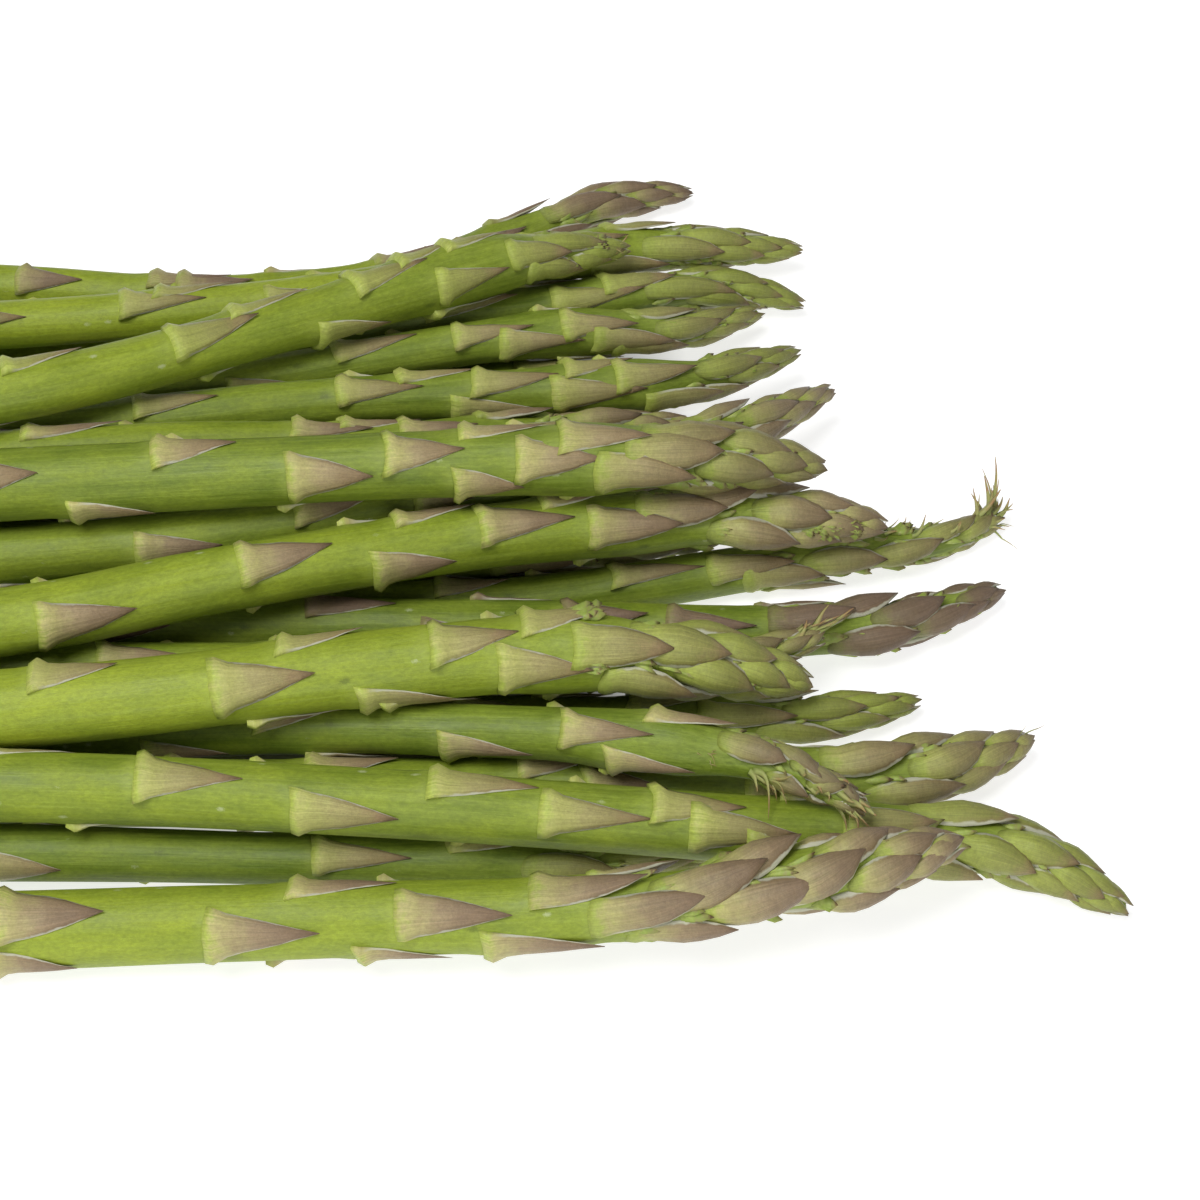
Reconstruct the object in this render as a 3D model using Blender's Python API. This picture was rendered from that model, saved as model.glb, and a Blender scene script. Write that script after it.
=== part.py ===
"""A loose bundle of green asparagus lying on its side: 25 spears in about three layers.

Every spear is one solid of its own: a long, gently bent stem with a bud-shaped head at +X and a
square cut butt at -X. X runs along the bundle, Y from its front to its back, and Z up from the
surface that it lies on. SPEARS says where each one is laid, and settle() then parts the spears
that lie too close, as they part under each other's weight.
"""
import bpy
import numpy as np

MM = 0.001

# ---- driving dimensions, in millimetres ----
CLEARANCE = 0.4           # air between the skins of two neighbouring spears
HEAD_LENGTH = 46.0        # from the tip back to the narrow neck under the head
NECK_LENGTH = 25.0        # from there to where the stem's even taper begins
STATION_STEP = 4.0        # distance along X between the stations where spears are compared
SETTLE_ROUNDS = 600       # upper limit of passes that part the spears
SETTLED_SHARE = 0.1       # the part of CLEARANCE that may still be missing when they have parted
EASE_PASSES = 40          # how widely a push is shared along a spear, in smoothing passes
PUSH_GAIN = 2.5           # makes up for what the sharing takes off a local push
BEVEL_RESOLUTION = 3      # ten facets around a spear
HEAD_RINGS = (0.0, 1.5, 3.5, 6.5, 10.0, 14.5, 20.0, 27.0, 35.0, HEAD_LENGTH)
STEM_RINGS = 10           # further rings from the neck to the butt

# Half thickness against distance from the tip, as a share of the head's radius. The last stretch
# leads from the neck into the stem, whose radius then runs straight to the butt's.
PROFILE_DISTANCE = (0.0, 3.0, 8.0, 15.0, 24.0, 34.0, HEAD_LENGTH, HEAD_LENGTH + NECK_LENGTH)
PROFILE_SHARE = (0.14, 0.38, 0.62, 0.86, 1.0, 0.97, 0.86, 0.84)

# Each spear: radius at the butt, radius of the head, then its route from butt to tip as points
# (along, across, level) of the centre line.
SPEARS = (
    # On the surface, from the front to the back. The first one's head rises over its neighbours.
    (6.0, 6.3, ((-150, 4, 6), (-84, 5, 6), (-56, 5.5, 7), (-28, 5.5, 8.5), (0, 5, 11), (28, 8.5, 14),
                (51, 13.5, 16))),
    (4.8, 4.6, ((-142, 18, 6), (-86, 18.5, 6), (-28, 17.5, 5), (0, 18, 4), (17, 21, 3))),
    (5.0, 5.9, ((-130, 28.5, 7), (-58, 28.5, 7), (0, 31, 5.5), (29, 31, 6), (50, 34, 5.5), (64, 41, 4))),
    (4.2, 4.3, ((-135, 46.5, 4), (-59, 45.5, 4), (15, 43.5, 4), (36, 45, 4), (48, 48.5, 3))),
    (4.4, 5.1, ((-128, 59.5, 7), (-60, 59, 8), (0, 59, 7), (27, 59, 5.5), (45, 62, 4.5), (62, 70.5, 3))),
    (4.0, 4.4, ((-140, 69, 4), (-61, 67, 4), (-15, 66.5, 4), (15, 72, 4), (39, 76.5, 4), (53, 79.5, 3),
                (63, 86, 2))),
    (4.8, 5.0, ((-142, 76, 5.5), (-60, 75.5, 5), (-20, 76, 5), (0, 78.5, 5), (20, 79.5, 5))),
    (4.6, 4.8, ((-138, 90, 6.5), (-60, 89.5, 5.5), (0, 89.5, 4.5), (30, 89, 3.5))),
    (4.6, 4.6, ((-146, 99.5, 4.5), (-60, 100.5, 4.5), (0, 101, 4), (22, 101.5, 3))),
    (4.4, 4.4, ((-136, 110, 6), (-60, 111, 5), (0, 112.5, 4), (20, 114, 3))),
    (4.0, 4.0, ((-132, 119, 4.5), (-60, 124.5, 4), (-20, 129, 4), (10, 133.5, 3))),
    (3.9, 4.1, ((-150, 136.5, 4), (-99, 135, 4), (-66, 133, 3.5), (-33, 136.5, 4), (-13, 145.5, 4),
                (0, 154, 4), (16, 159, 2.5))),
    # Resting in the furrows between those, again from the front.
    (5.2, 5.8, ((-138, 20.5, 16.5), (-85, 22.5, 16.5), (-28, 20, 15.5), (0, 19, 13.5), (28, 19.5, 9.5),
                (49, 20.5, 6.5), (61, 18.5, 5), (75, 9.5, 3))),
    (4.0, 4.6, ((-146, 38, 4), (-88, 38, 6.5), (-58, 38, 9), (-29, 35.5, 12.5), (0, 31.5, 16),
                (17, 28, 17), (28, 23.5, 17.5), (38, 17, 17))),
    (4.2, 4.2, ((-148, 46.5, 13), (-59, 48, 11.5), (0, 50.5, 10), (22, 51.5, 10), (34, 55, 11))),
    (4.8, 4.9, ((-136, 63, 15.5), (-90, 65.5, 16), (-60, 69, 16.5), (-30, 75, 16.5), (0, 83, 15.5),
                (22, 95.5, 11.5), (37, 109.5, 6))),
    (4.6, 4.6, ((-146, 78, 23), (-91, 80.5, 21.5), (-61, 84.5, 20), (-31, 86.5, 17), (0, 92.5, 13),
                (16, 97.5, 9.5))),
    (4.0, 4.5, ((-140, 85.5, 18), (-92, 88.5, 18), (-46, 96, 17), (0, 102, 13.5), (16, 107, 11),
                (32, 117, 7))),
    (3.6, 4.1, ((-150, 92.5, 15), (-93, 96, 15.5), (-62, 101, 15.5), (-32, 109, 14), (-8, 115, 11.5),
                (13, 120.5, 7), (27, 128.5, 4))),
    (4.0, 4.2, ((-138, 101, 13.5), (-94, 103, 12.5), (-63, 108, 12.5), (-29, 119.5, 11.5), (-8, 124.5, 9.5),
                (13, 131, 7), (25, 133, 5), (34, 130.5, 3.5))),
    (4.2, 4.3, ((-140, 115.5, 12.5), (-96, 117, 13), (-56, 121.5, 13), (-32, 126.5, 12.5), (-8, 134, 11),
                (13, 140, 8), (34, 142, 5.5))),
    # Across the top.
    (6.4, 6.5, ((-155, 31.5, 16.5), (-86, 34, 19), (-57, 36.5, 20.5), (-29, 40.5, 21), (0, 44, 20),
                (14, 44, 18), (31, 43.5, 13))),
    (5.2, 5.8, ((-150, 39, 25.5), (-87, 47.5, 22), (-59, 56.5, 20.5), (-30, 65, 18.5), (-8, 70.5, 17),
                (15, 74, 14.5), (33, 75.5, 13), (44, 75, 11))),
    (6.0, 6.0, ((-152, 67, 25), (-89, 70.5, 26.5), (-30, 73, 28), (0, 74.5, 27.5), (21, 77, 25),
                (34, 78.5, 21))),
    (5.4, 5.1, ((-156, 72.5, 35), (-90, 86, 29.5), (-47, 106.5, 24.5), (-16, 124, 20), (-6, 129, 17.5),
                (5, 132.5, 15))),
)

# Base colour of a stem's skin, and how much a spear differs from the next one.
SKIN_COLOUR = (0.30, 0.42, 0.07)
SKIN_SHADES = (1.0, 0.86, 0.93, 0.8)
SKIN_ROUGHNESS = 0.45


def clear_scene():
    for item in list(bpy.data.objects):
        bpy.data.objects.remove(item, do_unlink=True)


def smooth_route(route, x):
    """Across and level at the stations x: cubic stretches through the route's points, each with
    the slope of the chord between its two neighbours."""
    knots, ends = route[:, 0], route[:, 1:]
    slope = np.empty_like(ends)
    slope[1:-1] = (ends[2:] - ends[:-2]) / (knots[2:] - knots[:-2])[:, None]
    slope[0] = (ends[1] - ends[0]) / (knots[1] - knots[0])
    slope[-1] = (ends[-1] - ends[-2]) / (knots[-1] - knots[-2])
    low = np.clip(np.searchsorted(knots, x) - 1, 0, len(knots) - 2)
    span = (knots[low + 1] - knots[low])[:, None]
    t = (x[:, None] - knots[low][:, None]) / span
    return (
        (2 * t**3 - 3 * t**2 + 1) * ends[low]
        + (t**3 - 2 * t**2 + t) * span * slope[low]
        + (3 * t**2 - 2 * t**3) * ends[low + 1]
        + (t**3 - t**2) * span * slope[low + 1]
    )


def radius_at(distance, butt_radius, head_radius, length):
    """Half thickness of a spear at a distance from its tip."""
    stops = PROFILE_DISTANCE + (max(length, PROFILE_DISTANCE[-1] + 1.0),)
    return head_radius * np.interp(distance, stops, PROFILE_SHARE + (butt_radius / head_radius,))


def sharing_matrix(inside):
    """Spreads a push at one station over its neighbours, and keeps it within the spear."""
    count = len(inside)
    step = np.zeros((count, count))
    for shift, weight in ((-1, 0.25), (0, 0.5), (1, 0.25)):
        source = np.clip(np.arange(count) + shift, 0, count - 1)
        source = np.where(inside[source], source, np.arange(count))
        np.add.at(step, (np.arange(count), source), weight)
    return np.linalg.matrix_power(step, EASE_PASSES)


def settle(stations):
    """Centre lines on the stations, moved apart until no two skins are nearer than CLEARANCE.

    Two round sections overlap by the sum of their radii less the distance of their centres. Each
    is pushed half of that along the line of centres, the push is shared along the spear, and
    nothing sinks below the surface that the bundle lies on.
    """
    routes = [np.array(route, float) for _, _, route in SPEARS]
    lines, radii, sharing = [], [], []
    for (butt_radius, head_radius, _), route in zip(SPEARS, routes):
        start, end = route[0, 0], route[-1, 0]
        inside = (stations >= start - STATION_STEP) & (stations <= end + STATION_STEP)
        held = np.clip(stations, start, end)
        radius = radius_at(end - held, butt_radius, head_radius, end - start)
        lines.append(smooth_route(route, held))
        radii.append(np.where(inside, radius, np.nan))
        sharing.append(sharing_matrix(inside))
    lines, radii, sharing = np.array(lines), np.array(radii), np.array(sharing)

    for _ in range(SETTLE_ROUNDS):
        lean = np.gradient(lines, STATION_STEP, axis=1)
        thick = radii * np.sqrt(1.0 + (lean**2).sum(axis=2))
        apart = lines[:, None] - lines[None]
        distance = np.sqrt((apart**2).sum(axis=3)) + 1e-9
        overlap = thick[:, None] + thick[None] + CLEARANCE - distance
        overlap[np.arange(len(lines)), np.arange(len(lines))] = 0.0
        overlap = np.nan_to_num(np.maximum(overlap, 0.0))
        sunk = np.nan_to_num(np.maximum(thick - lines[:, :, 1], 0.0))
        if max(overlap.max(), sunk.max()) < SETTLED_SHARE * CLEARANCE:
            break
        push = (0.5 * (overlap / distance)[..., None] * apart).sum(axis=1)
        push[:, :, 1] += sunk
        lines += PUSH_GAIN * np.einsum("sij,sjk->sik", sharing, push)
    else:
        raise RuntimeError(f"spears still overlap by {overlap.max():.2f} mm")
    return lines


def skin_material(name, shade):
    material = bpy.data.materials.new(name)
    material.use_nodes = True
    shader = material.node_tree.nodes["Principled BSDF"]
    shader.inputs["Base Color"].default_value = tuple(shade * c for c in SKIN_COLOUR) + (1.0,)
    shader.inputs["Roughness"].default_value = SKIN_ROUGHNESS
    shader.inputs["Metallic"].default_value = 0.0
    return material


def spear(name, butt_radius, head_radius, start, end, centre_line, shade):
    """A bevelled curve whose points carry the half thickness, with filled ends."""
    stem = np.linspace(HEAD_LENGTH, end - start, STEM_RINGS + 1)[1:]
    distance = np.concatenate((HEAD_RINGS, stem))
    radius = radius_at(distance, butt_radius, head_radius, end - start)
    along = end - distance
    across, level = centre_line(along)

    curve = bpy.data.curves.new(name, "CURVE")
    curve.dimensions = "3D"
    curve.bevel_depth = MM
    curve.bevel_resolution = BEVEL_RESOLUTION
    curve.use_fill_caps = True
    run = curve.splines.new("POLY")
    run.points.add(len(distance) - 1)
    for point, x, y, z, r in zip(run.points, along, across, level, radius):
        point.co = (x * MM, y * MM, z * MM, 1.0)
        point.radius = r
    curve.materials.append(skin_material(name + "_skin", shade))
    item = bpy.data.objects.new(name, curve)
    bpy.context.scene.collection.objects.link(item)
    return item


def set_on_origin(items):
    """Moves the bundle so that the middle of its underside is the origin."""
    graph = bpy.context.evaluated_depsgraph_get()
    corners = []
    for item in items:
        mesh = item.evaluated_get(graph).to_mesh()
        points = np.empty(len(mesh.vertices) * 3, np.float32)
        mesh.vertices.foreach_get("co", points)
        corners.append(points.reshape(-1, 3))
    corners = np.concatenate(corners).astype(float)
    low, high = corners.min(axis=0), corners.max(axis=0)
    shift = (-(low[0] + high[0]) / 2, -(low[1] + high[1]) / 2, -low[2])
    for item in items:
        item.location = shift


def build():
    clear_scene()
    ends = [point[0] for _, _, route in SPEARS for point in (route[0], route[-1])]
    stations = np.arange(min(ends) - 2 * STATION_STEP, max(ends) + 2 * STATION_STEP, STATION_STEP)
    items = []
    for number, ((butt, head, route), line) in enumerate(zip(SPEARS, settle(stations)), start=1):
        def centre_line(x, line=line):
            return np.interp(x, stations, line[:, 0]), np.interp(x, stations, line[:, 1])
        shade = SKIN_SHADES[number % len(SKIN_SHADES)]
        items.append(
            spear(f"spear_{number:02d}", butt, head, route[0][0], route[-1][0], centre_line, shade)
        )
    set_on_origin(items)


build()
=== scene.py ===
"""Looks of the lying bundle of green asparagus: stems, leaf scales, buds, cut butts and torn tips."""
import math

import bpy
import numpy as np
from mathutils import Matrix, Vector


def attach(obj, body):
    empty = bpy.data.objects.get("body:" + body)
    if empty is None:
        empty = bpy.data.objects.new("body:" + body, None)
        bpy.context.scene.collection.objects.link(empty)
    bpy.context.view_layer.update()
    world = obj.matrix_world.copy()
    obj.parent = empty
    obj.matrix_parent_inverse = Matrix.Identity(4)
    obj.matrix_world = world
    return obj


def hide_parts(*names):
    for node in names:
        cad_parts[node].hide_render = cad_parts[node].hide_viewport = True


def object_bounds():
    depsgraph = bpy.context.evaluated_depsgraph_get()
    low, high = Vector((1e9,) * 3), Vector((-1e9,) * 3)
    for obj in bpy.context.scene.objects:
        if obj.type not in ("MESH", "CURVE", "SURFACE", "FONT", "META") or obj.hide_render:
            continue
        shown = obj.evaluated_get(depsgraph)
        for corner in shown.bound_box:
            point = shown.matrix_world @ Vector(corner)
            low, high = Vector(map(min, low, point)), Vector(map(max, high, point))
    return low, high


bl_info = {
    "name": "Asparagus bundle",
    "version": (1, 0, 0),
    "blender": (4, 5, 0),
    "location": "3D View > Sidebar > Asparagus",
    "description": "Grows stems, leaf scales and buds on the spears of a lying bundle",
    "category": "Object",
}

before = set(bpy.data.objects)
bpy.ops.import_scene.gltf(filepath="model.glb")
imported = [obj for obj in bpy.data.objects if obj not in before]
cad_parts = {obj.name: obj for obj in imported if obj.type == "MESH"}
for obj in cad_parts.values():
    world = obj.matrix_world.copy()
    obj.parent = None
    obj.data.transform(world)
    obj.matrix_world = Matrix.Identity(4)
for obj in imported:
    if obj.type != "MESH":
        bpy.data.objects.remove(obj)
CAD_BOX = [list(corner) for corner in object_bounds()]

MM = 0.001
FACING = math.radians(40)     # angle round a spear that looks at the camera: 0 is up, 90 the front
GOLDEN = math.radians(137.5)  # turn from one leaf scale to the next
SQUEEZED_UNDER = 0.4 * MM     # height under which what reaches lower is squeezed over the floor


# ---------------------------------------------------------------- the spears of the frame
class Spear:
    """A spear's centre line and half thickness by distance from its tip, read from its CAD solid.

    Planes across the length cut the solid's triangles. The mean of the cut's widths over twelve
    directions gives its half thickness, and the middles of those widths give its centre.
    """

    STEP = 1.0 * MM           # between the stored points of the centre line
    FINE_STEP = 0.5 * MM      # between its points while it is worked out
    CUTS = 170                # planes across the length
    END = 2.0 * MM            # from an end to the first cut
    WAYS = 12                 # directions over half a turn in which a cut is measured
    EDGE_CUTS = 8             # cuts at either end that give the direction beyond it
    PASSES = 60               # of smoothing
    WIDTH_SHARE = 0.9836      # mean half width of a ten-sided section over its corner radius

    def __init__(self, name):
        self.name = name
        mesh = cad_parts[name].data
        co = np.empty(len(mesh.vertices) * 3, np.float32)
        mesh.vertices.foreach_get("co", co)
        corner = np.empty(len(mesh.loops), np.int32)
        mesh.loops.foreach_get("vertex_index", corner)
        triangles = co.reshape(-1, 3).astype(float)[corner].reshape(-1, 3, 3)
        low, high = triangles[:, :, 0].min(), triangles[:, :, 0].max()
        cuts = np.linspace(low + self.END, high - self.END, self.CUTS)
        a = triangles[None]
        b = np.roll(triangles, -1, axis=1)[None]
        span = b[..., 0] - a[..., 0]
        share = (cuts[:, None, None] - a[..., 0]) / np.where(np.abs(span) < 1e-12, np.inf, span)
        crossed = (share > 0) & (share < 1)
        points = a[..., 1:] + share[..., None] * (b - a)[..., 1:]
        points = np.where(crossed[..., None], points, np.nan).reshape(len(cuts), -1, 2)
        angle = np.arange(self.WAYS) * math.pi / self.WAYS
        ways = np.stack([np.cos(angle), np.sin(angle)])
        reach = points @ ways
        top, bottom = np.nanmax(reach, axis=1), np.nanmin(reach, axis=1)
        centre = (top + bottom) / 2 @ ways.T / (self.WAYS / 2)
        half = ((top - bottom) / 2).mean(axis=1) / self.WIDTH_SHARE

        x = np.arange(low, high, self.FINE_STEP)
        line = np.stack([self._reach(x, cuts, centre[:, k]) for k in (0, 1)], axis=1)
        line = self._soften(line)
        lean = np.gradient(line, x, axis=0)
        half = np.interp(x, cuts, half) / np.sqrt(1 + 0.5 * (lean**2).sum(axis=1))
        run = np.column_stack([x, line])[::-1]
        half = half[::-1]
        from_tip = np.concatenate([[0], np.cumsum(np.linalg.norm(np.diff(run, axis=0), axis=1))])
        self.length = float(from_tip[-1])
        self.at = np.arange(0, self.length, self.STEP)
        self.centre = np.stack([np.interp(self.at, from_tip, run[:, k]) for k in range(3)], axis=1)
        self.half = np.interp(self.at, from_tip, half)
        ahead = -np.gradient(self.centre, axis=0)
        ahead /= np.linalg.norm(ahead, axis=1, keepdims=True)
        up = np.array([0, 0, 1.0]) - ahead[:, 2:] * ahead
        self.up = up / np.linalg.norm(up, axis=1, keepdims=True)
        self.side = np.cross(ahead, self.up)

    def _reach(self, x, cuts, values):
        """Values between the cuts, carried on in a straight line past the first and last."""
        inner = np.interp(x, cuts, values)
        for edge, inside in ((0, self.EDGE_CUTS), (-1, -1 - self.EDGE_CUTS)):
            slope = (values[edge] - values[inside]) / (cuts[edge] - cuts[inside])
            beyond = x < cuts[0] if edge == 0 else x > cuts[-1]
            inner = np.where(beyond, values[edge] + slope * (x - cuts[edge]), inner)
        return inner

    def _soften(self, line):
        """Repeated averaging with both neighbours. The two ends stay where they are."""
        line = line.copy()
        for _ in range(self.PASSES):
            line[1:-1] = 0.25 * line[:-2] + 0.5 * line[1:-1] + 0.25 * line[2:]
        return line

    def _read(self, table, distance):
        held = np.clip(distance, 0, self.at[-1])
        return np.stack([np.interp(held, self.at, table[:, k]) for k in range(3)], axis=-1)

    def envelope(self, distance):
        """The solid's radius at the distance from the tip."""
        return np.interp(distance, self.at, self.half)

    def ways(self, distance, angle):
        """The directions ahead along the spear and outwards at the angle."""
        up, side = self._read(self.up, distance), self._read(self.side, distance)
        return np.cross(up, side), np.cos(angle)[..., None] * up + np.sin(angle)[..., None] * side

    def point(self, distance, angle, radius):
        """Centre at the distance from the tip, plus the radius along the direction of the angle.
        Distances before the tip or past the butt carry on along the end's own direction."""
        distance, angle, radius = np.broadcast_arrays(distance, angle, radius)
        ahead, out = self.ways(distance, angle)
        held = np.clip(distance, 0, self.at[-1])
        centre = self._read(self.centre, distance) - (distance - held)[..., None] * ahead
        return centre + radius[..., None] * out


SPEARS = {name: Spear(name) for name in sorted(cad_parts)}


# ---------------------------------------------------------------- what each spear is like
class Character:
    """How one spear differs from the next: the length of its head in millimetres, how purple its
    leaf scales and how light its stem are (0 to 1), the angle of its first scale in degrees, the
    sense in which its scales wind, how far the head's scales lean aside for each length ahead, and
    how ragged its head is (0 to 1)."""

    def __init__(self, head, purple, light, start, wind=1, lean=0.0, ragged=0.0):
        self.head = head * MM
        self.purple = purple
        self.light = light
        self.start = math.radians(start)
        self.wind = wind
        self.lean = lean
        self.ragged = ragged


CHARACTERS = {
    "spear_01": Character(52, 0.85, 0.64, 20, 1, -0.16),
    "spear_02": Character(32, 0.40, 0.12, 80, -1, 0.05),
    "spear_03": Character(36, 0.60, 0.40, 40, 1, -0.08),
    "spear_04": Character(30, 0.25, 0.40, 10, -1, 0.05),
    "spear_05": Character(40, 1.00, 0.20, 60, 1, -0.08),
    "spear_06": Character(42, 0.50, 0.30, 30, -1, -0.05, 0.4),
    "spear_07": Character(36, 0.55, 0.40, 0, 1),
    "spear_08": Character(34, 0.50, 0.40, 100, -1),
    "spear_09": Character(32, 0.60, 0.45, 200, 1),
    "spear_10": Character(32, 0.40, 0.45, 300, -1),
    "spear_11": Character(28, 0.70, 0.85, 150, 1, -0.06),
    "spear_12": Character(32, 0.90, 0.80, 60, -1, 0.05),
    "spear_13": Character(40, 0.30, 0.36, 45, 1),
    "spear_14": Character(26, 0.65, 0.18, 20, -1, 0.05, 1.0),
    "spear_15": Character(30, 0.60, 0.35, 70, 1, -0.05, 0.5),
    "spear_16": Character(36, 0.75, 0.42, 120, -1, -0.05),
    "spear_17": Character(34, 0.80, 0.50, 210, 1, 0.06),
    "spear_18": Character(26, 0.35, 0.30, 30, -1),
    "spear_19": Character(28, 0.45, 0.34, 75, 1, -0.06),
    "spear_20": Character(30, 0.15, 0.28, 55, -1, 0.06),
    "spear_21": Character(30, 0.30, 0.90, 20, 1, 0.05),
    "spear_22": Character(32, 0.34, 0.80, 60, -1, 0.10),
    "spear_23": Character(38, 0.75, 0.62, 35, 1, 0.06),
    "spear_24": Character(32, 0.55, 0.22, 50, -1, 0.06),
    "spear_25": Character(20, 0.10, 0.60, 90, 1),
}

# Leaf scales on the sides that show most: distance of the base from the tip (mm), angle of its
# middle (degrees) and length (mm). The rest follow the spiral.
PLACED = {
    "spear_01": ((137, 105, 12), (135.5, 10, 15), (106, 55, 15.5), (95, -35, 15), (85.5, 115, 13),
                 (79.5, 30, 16), (67.5, 95, 16), (60.5, -5, 16), (52.5, 50, 16), (47.5, 115, 14),
                 (44, 25, 16), (38.5, 75, 17), (35.5, -15, 13)),
    "spear_02": ((106.5, 70, 13), (57.5, 25, 13.5), (38.5, -15, 14)),
    "spear_03": ((77, -15, 12), (68, 40, 12)),
    "spear_05": ((54, 20, 13), (38.5, 5, 12.5), (30, -30, 12), (29, 85, 12), (22.5, 20, 11), (17, 75, 10)),
    "spear_06": ((63.5, 5, 14), (48.5, 30, 13), (43, 70, 12), (34, 60, 13), (24, 70, 13), (15.5, 10, 11)),
    "spear_11": ((99.5, -35, 10),),
    "spear_12": ((116.5, 20, 10), (95, -15, 13)),
    "spear_13": ((143.5, 10, 15), (121, 60, 14.5), (102.5, -20, 15), (86.5, 35, 15), (71.5, 0, 13),
                 (65.5, 40, 14.5)),
    "spear_14": ((63, 80, 13), (45.5, 25, 13), (39, 90, 13), (33.5, -35, 12), (22.5, 0, 11)),
    "spear_16": ((93.5, 10, 12),),
    "spear_17": ((105, -35, 14.5), (65, -10, 12), (57.5, -35, 12)),
    "spear_18": ((109, 0, 13), (77.5, 15, 13), (68, -35, 12), (59.5, 80, 13), (56.5, 10, 13),
                 (44, 50, 14), (42, -20, 11), (34.5, 20, 13), (29.5, 95, 13)),
    "spear_19": ((73, 0, 13), (54, 20, 12.5), (46.5, 60, 13), (36.5, 25, 12), (31.5, 65, 13)),
    "spear_20": ((107, 55, 12), (64.5, 10, 15), (43.5, 35, 15), (35, 0, 12), (27.5, 30, 15)),
    "spear_21": ((113, 10, 13),),
    "spear_22": ((112.5, -20, 12), (87, 40, 14), (77.5, -40, 12), (67, 105, 13.5), (64, 140, 14),
                 (56.5, 10, 12.5), (47, 60, 13.5), (43, -25, 12), (36, 30, 14), (31.5, 98, 14)),
    "spear_23": ((129.5, 60, 14), (99, 20, 13.5), (79.5, 80, 12), (75, -40, 12), (63, 20, 14),
                 (53, -35, 12), (46.5, 45, 14), (38.5, 15, 13)),
    "spear_24": ((131.5, 30, 14), (113, 115, 12), (100.5, -15, 12), (80.5, 55, 12), (66.5, 20, 11.5),
                 (56.5, 85, 10), (55.5, -35, 12.5), (47, 40, 12), (41, 0, 13), (35.5, 65, 14),
                 (31, 30, 13.5), (28, -10, 12.5)),
    "spear_25": ((106.5, -35, 13), (80.5, 15, 14.5), (69.5, -35, 13.5), (57, 100, 12), (49.5, -5, 13),
                 (40.5, -40, 11), (36, 60, 12), (32, -40, 11), (23, 35, 11), (17, 0, 12),
                 (19.5, 85, 10)),
}

# Clusters of small buds that push out past a scale: distance from the tip (mm), angle (degrees),
# number of buds, their size and how far they stand out (mm).
BUD_CLUSTERS = {
    "spear_22": ((34, -28, 14, 0.9, 1.7), (25, -8, 8, 0.8, 1.6), (33, 62, 6, 0.7, 1.2)),
    "spear_23": ((6, 74, 18, 0.6, 1.5), (8, 62, 20, 0.6, 1.7), (10, 76, 20, 0.6, 1.7),
                 (12, 84, 14, 0.6, 1.5), (26, 75, 8, 0.7, 1.3)),
    "spear_05": ((44, 70, 6, 0.7, 0.9), (26, 60, 6, 0.6, 1.2)),
    "spear_06": ((29, 90, 8, 0.8, 1.2), (18, -30, 10, 0.7, 1.4)),
    "spear_25": ((6, 20, 16, 0.7, 1.3), (12, 80, 8, 0.7, 1.2)),
    "spear_18": ((12, 40, 10, 0.6, 1.2),),
    "spear_02": ((44, 110, 10, 0.8, 1.3),),
}

# Dried strands: how many, nearest and furthest start from the tip (mm), middle and half width of the
# angles they start at (degrees), length (mm), curl, half width (mm).
FRAYS = {
    "spear_06": ((14, 2, 6, -50, 24, 5.0, 1.35, 1.00), (6, 0.5, 5, -10, 60, 3.6, 0.9, 0.45),
                 (5, 1, 5, 100, 40, 4.0, 1.1, 0.32), (14, 10, 24, -25, 40, 3.0, 0.7, 0.55)),
    "spear_14": ((18, 1, 13, 60, 110, 4.2, 0.5, 0.75), (7, 25, 29, 40, 25, 3.0, 0.55, 0.16),
                 (10, 12, 19, 110, 40, 5.5, 0.6, 0.75)),
    "spear_15": ((12, 2, 7, -20, 45, 7.0, 0.35, 0.80),),
    "spear_03": ((2, 0.5, 4, -20, 20, 3.5, 0.9, 0.12),),
    "spear_25": ((5, 1, 6, 30, 80, 2.5, 0.4, 0.30),),
}


# ---------------------------------------------------------------- mesh and node helpers
def smoothstep(low, high, value):
    """Zero below low, one above high, and a smooth cubic between."""
    t = np.clip((value - low) / (high - low), 0, 1)
    return t * t * (3 - 2 * t)


def grid_faces(rows, columns, wrap=False):
    """Quads of a grid of rows by columns whose points are numbered row by row."""
    across = np.arange(columns if wrap else columns - 1)
    r, c = np.meshgrid(np.arange(rows - 1), across, indexing="ij")
    n = (c + 1) % columns
    return np.stack([r * columns + c, r * columns + n, (r + 1) * columns + n, (r + 1) * columns + c],
                    axis=-1).reshape(-1, 4)


def blade_faces(rows, columns):
    """Faces of a closed blade. A top grid comes first, then one foot under each point of its rim.
    Rungs from the left feet to the right feet and a face at either end close it underneath."""
    number = np.arange(rows * columns).reshape(rows, columns)
    rim = np.concatenate([number[0, :-1], number[:-1, -1], number[-1, :0:-1], number[:0:-1, 0]])
    foot = np.arange(len(rim)) + rows * columns
    edge = np.stack([np.roll(rim, -1), rim, foot, np.roll(foot, -1)], axis=1)
    right = foot[columns - 1:columns + rows - 1]
    left = np.append(foot[0], foot[:-rows:-1])
    rung = np.stack([left[:-1], left[1:], right[1:], right[:-1]], axis=1)
    ends = np.stack([foot[columns - 1::-1], foot[columns + rows - 2:2 * columns + rows - 2][::-1]])
    return rim, np.concatenate([grid_faces(rows, columns), edge, rung]), ends


def signed_volume(points, groups):
    """Six times the volume inside the faces, which is positive when they look outwards."""
    total = 0.0
    for faces in groups:
        corner = points[faces]
        for k in range(1, faces.shape[1] - 1):
            total += np.einsum("ij,ij->i", corner[:, 0], np.cross(corner[:, k], corner[:, k + 1])).sum()
    return total


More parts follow.
